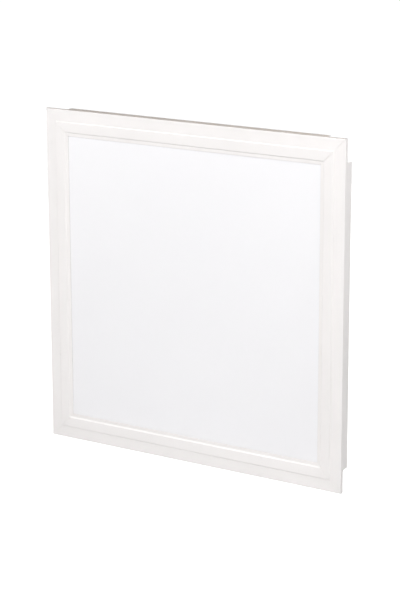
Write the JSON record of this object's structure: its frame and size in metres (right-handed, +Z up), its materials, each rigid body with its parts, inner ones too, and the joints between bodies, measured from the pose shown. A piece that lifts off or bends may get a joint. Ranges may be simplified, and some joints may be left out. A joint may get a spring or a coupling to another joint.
{
  "type": "flat light panel",
  "caption": "Square flat light panel: mitred stepped white bezel, opal diffuser, edge-lit stack, steel back cover with driver box, swing-out ceiling clips and a hinged terminal cover.",
  "frame": {"origin": "centre of the bounding box at its lowest level: the middle of the panel's lower edge, when it stands upright", "axes": "+Z up, +X right, -Y towards the viewer of the lit face, +Y to the back cover and driver"},
  "size_m": [0.595, 0.042, 0.595],
  "materials": {
    "white_powder_coat": "satin white polyester powder coat on extruded aluminium",
    "cover_paint": "white coil-coated steel sheet",
    "opal_diffuser": "matt opal polystyrene sheet",
    "clear_acrylic": "clear acrylic light guide with a fine dot matrix",
    "reflector_white": "white polyester reflector film",
    "foam": "white closed-cell foam",
    "raw_aluminium": "mill finish",
    "led_phosphor": "yellow phosphor packages",
    "tape": "thermal adhesive tape",
    "wire_red": "stranded wire, silicone insulation",
    "wire_brown": "stranded wire insulation",
    "wire_earth": "green and yellow insulation",
    "zinc_steel": "zinc plated steel",
    "spring_steel": "bright spring steel",
    "lead_sheath": "white cable sheath",
    "black_rubber": "moulded rubber",
    "connector_plastic": "white moulded connector",
    "driver_plastic": "white flame-retardant polycarbonate, fine texture",
    "circuit_board": "green glass-epoxy board",
    "ferrite": "ferrite core",
    "coil_tape": "yellow winding tape",
    "capacitor_sleeve": "printed sleeve left plain",
    "clamp_plastic": "black nylon",
    "terminal_plastic": "grey nylon",
    "lever_plastic": "orange nylon",
    "contact_brass": "tinned brass leaf"
  },
  "bodies": {
    "panel": {"back_cover": "cover_paint", "bar_tapes": "tape", "board_screws": "zinc_steel", "cable_clamp": "clamp_plastic", "capacitors": "capacitor_sleeve", "clamp_screws": "zinc_steel", "clip_rivets": "zinc_steel", "corner_keys": "raw_aluminium", "corner_screws": "zinc_steel", "cover_pin": "spring_steel", "cover_screws": "zinc_steel", "cover_studs": "zinc_steel", "diffuser": "opal_diffuser", "driver_base": "driver_plastic", "driver_board": "circuit_board", "driver_bushing": "black_rubber", "driver_lead": "lead_sheath", "driver_lid": "driver_plastic", "earth_lug": "zinc_steel", "earth_wire": "wire_earth", "edge_tapes": "reflector_white", "foam_pad": "foam", "frame_bottom": "white_powder_coat", "frame_left": "white_powder_coat", "frame_right": "white_powder_coat", "frame_top": "white_powder_coat", "front_gasket": "foam", "heat_sink": "raw_aluminium", "input_wires": "wire_brown", "lead_clip": "connector_plastic", "lead_grommet": "black_rubber", "lead_plug": "connector_plastic", "lead_socket": "connector_plastic", "led_bar_left": "raw_aluminium", "led_bar_right": "raw_aluminium", "led_chips_left": "led_phosphor", "led_chips_right": "led_phosphor", "lever_pin": "spring_steel", "lid_screws": "zinc_steel", "light_guide": "clear_acrylic", "link_wires": "wire_red", "mains_bushing": "black_rubber", "panel_lead": "lead_sheath", "panel_wires": "wire_red", "reflector_sheet": "reflector_white", "stud_nuts": "zinc_steel", "terminal_block": "terminal_plastic", "terminal_contacts": "contact_brass", "transformer_coil": "coil_tape", "transformer_core": "ferrite"},
    "clip_tl": {"grid_clip_top_left": "spring_steel"},
    "clip_tr": {"grid_clip_top_right": "spring_steel"},
    "clip_bl": {"grid_clip_bottom_left": "spring_steel"},
    "clip_br": {"grid_clip_bottom_right": "spring_steel"},
    "terminal_flap": {"terminal_cover": "driver_plastic"},
    "lever_live": {"lever_live": "lever_plastic"},
    "lever_earth": {"lever_earth": "lever_plastic"},
    "lever_neutral": {"lever_neutral": "lever_plastic"}
  },
  "joints": [
    {"name": "clip_top_left_swing", "type": "hinge", "parent": "panel", "child": "clip_tl", "pos_m": [-0.145, -0.0104, 0.5815], "axis": [0, -1, 0], "range_deg": [0, 90]},
    {"name": "clip_top_right_swing", "type": "hinge", "parent": "panel", "child": "clip_tr", "pos_m": [0.145, -0.0104, 0.5815], "axis": [0, 1, 0], "range_deg": [0, 90]},
    {"name": "clip_bottom_left_swing", "type": "hinge", "parent": "panel", "child": "clip_bl", "pos_m": [-0.145, -0.0104, 0.0135], "axis": [0, 1, 0], "range_deg": [0, 90]},
    {"name": "clip_bottom_right_swing", "type": "hinge", "parent": "panel", "child": "clip_br", "pos_m": [0.145, -0.0104, 0.0135], "axis": [0, -1, 0], "range_deg": [0, 90]},
    {"name": "terminal_cover_hinge", "type": "hinge", "parent": "panel", "child": "terminal_flap", "pos_m": [-0.04, 0.01975, 0.2975], "axis": [0, 0, -1], "range_deg": [0, 95]},
    {"name": "lever_live_lift", "type": "hinge", "parent": "panel", "child": "lever_live", "pos_m": [-0.047, 0.00275, 0.3075], "axis": [0, 0, -1], "range_deg": [0, 75]},
    {"name": "lever_earth_lift", "type": "hinge", "parent": "panel", "child": "lever_earth", "pos_m": [-0.047, 0.00275, 0.2975], "axis": [0, 0, -1], "range_deg": [0, 75]},
    {"name": "lever_neutral_lift", "type": "hinge", "parent": "panel", "child": "lever_neutral", "pos_m": [-0.047, 0.00275, 0.2875], "axis": [0, 0, -1], "range_deg": [0, 75]}
  ]
}
